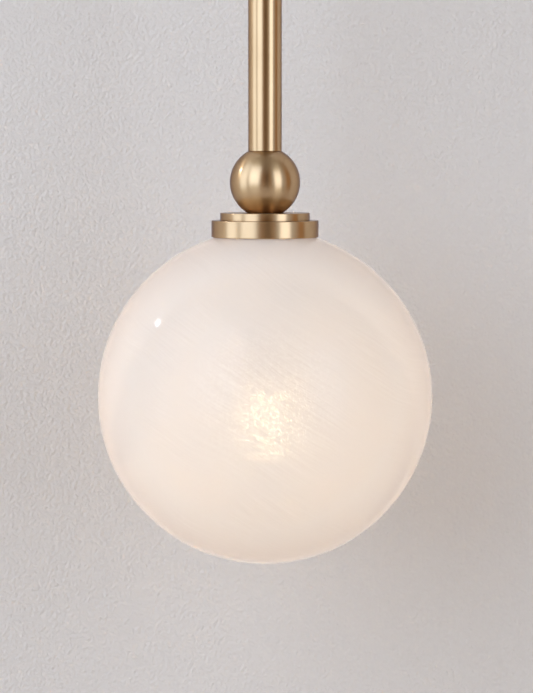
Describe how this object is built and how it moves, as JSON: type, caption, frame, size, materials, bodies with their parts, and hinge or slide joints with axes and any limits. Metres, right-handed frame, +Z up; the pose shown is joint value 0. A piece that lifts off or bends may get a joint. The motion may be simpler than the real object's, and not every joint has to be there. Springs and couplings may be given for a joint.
{
  "type": "hanging globe wall light",
  "caption": "Wall light with a straight arm, ball elbow and hanging tube stem that carries a round streaked opal glass globe below a ball and stepped cap.",
  "frame": {"origin": "centre of the wall strap's back face, in the plane of the wall, on the arm's axis", "axes": "+Z up, +Y into the wall, so the light stands out along -Y; +X to the right as seen from the room"},
  "size_m": [0.2, 0.25, 0.5752],
  "materials": {
    "satin_brass": "turned and satin lacquered",
    "raw_brass": "as machined",
    "zinc_steel": "bright zinc plated",
    "green_screw": "green passivated steel",
    "opal_glass": "blown opal glass with soft streaks",
    "clear_glass": "clear blown glass",
    "black_glass": "black vitrite",
    "nickel_shell": "nickel plated",
    "solder": "soldered",
    "filament_phosphor": "phosphor coated filament",
    "black_moulding": "moulded phenolic",
    "white_moulding": "moulded nylon",
    "silicone": "translucent silicone",
    "brown_insulation": "heat resistant insulation",
    "blue_insulation": "heat resistant insulation",
    "green_yellow_insulation": "green insulation with yellow stripe"
  },
  "bodies": {
    "fixture": {"wall_strap": "zinc_steel", "canopy_studs": "zinc_steel", "earth_lug": "zinc_steel", "earth_screw": "green_screw", "wall_canopy": "satin_brass", "canopy_step_disc": "satin_brass", "canopy_ball_nuts": "satin_brass", "canopy_washer": "zinc_steel", "canopy_locknut": "zinc_steel", "canopy_nipple": "zinc_steel", "arm_tube": "satin_brass", "arm_rear_bushing": "raw_brass", "arm_front_bushing": "raw_brass", "elbow_ball": "satin_brass", "elbow_arm_nipple": "zinc_steel", "elbow_stem_nipple": "zinc_steel", "stem_top_bushing": "raw_brass", "stem_bottom_bushing": "raw_brass", "stem_tube": "satin_brass", "lower_ball": "satin_brass", "lamp_nipple": "zinc_steel", "cap_step_disc": "satin_brass", "globe_collar": "satin_brass", "collar_washer": "zinc_steel", "collar_locknut": "zinc_steel", "holder_cap": "black_moulding", "holder_barrel": "black_moulding", "holder_screw_shell": "nickel_shell", "holder_centre_contact": "raw_brass", "holder_terminals": "raw_brass", "terminal_block": "white_moulding", "terminal_block_screws": "zinc_steel", "live_wire": "brown_insulation", "neutral_wire": "blue_insulation", "earth_wire": "green_yellow_insulation"},
    "neck_seal": {"neck_seal": "silicone"},
    "globe": {"glass_globe": "opal_glass", "globe_neck_ring": "raw_brass"},
    "lamp": {"lamp_envelope": "clear_glass", "lamp_cap": "nickel_shell", "lamp_insulator": "black_glass", "lamp_contact": "solder", "lamp_support": "clear_glass", "lamp_filaments": "filament_phosphor"}
  },
  "joints": [
    {"name": "globe_lower", "type": "slide", "parent": "fixture", "child": "neck_seal", "axis": [0, 0, -1], "range_m": [0, 0.2]},
    {"name": "globe_twist", "type": "hinge", "parent": "neck_seal", "child": "globe", "pos_m": [0, -0.15, -0.31282], "axis": [0, 0, -1], "range_deg": [0, 450]},
    {"name": "lamp_lower", "type": "slide", "parent": "fixture", "child": "lamp", "axis": [0, 0, -1], "range_m": [0, 0.03]}
  ]
}
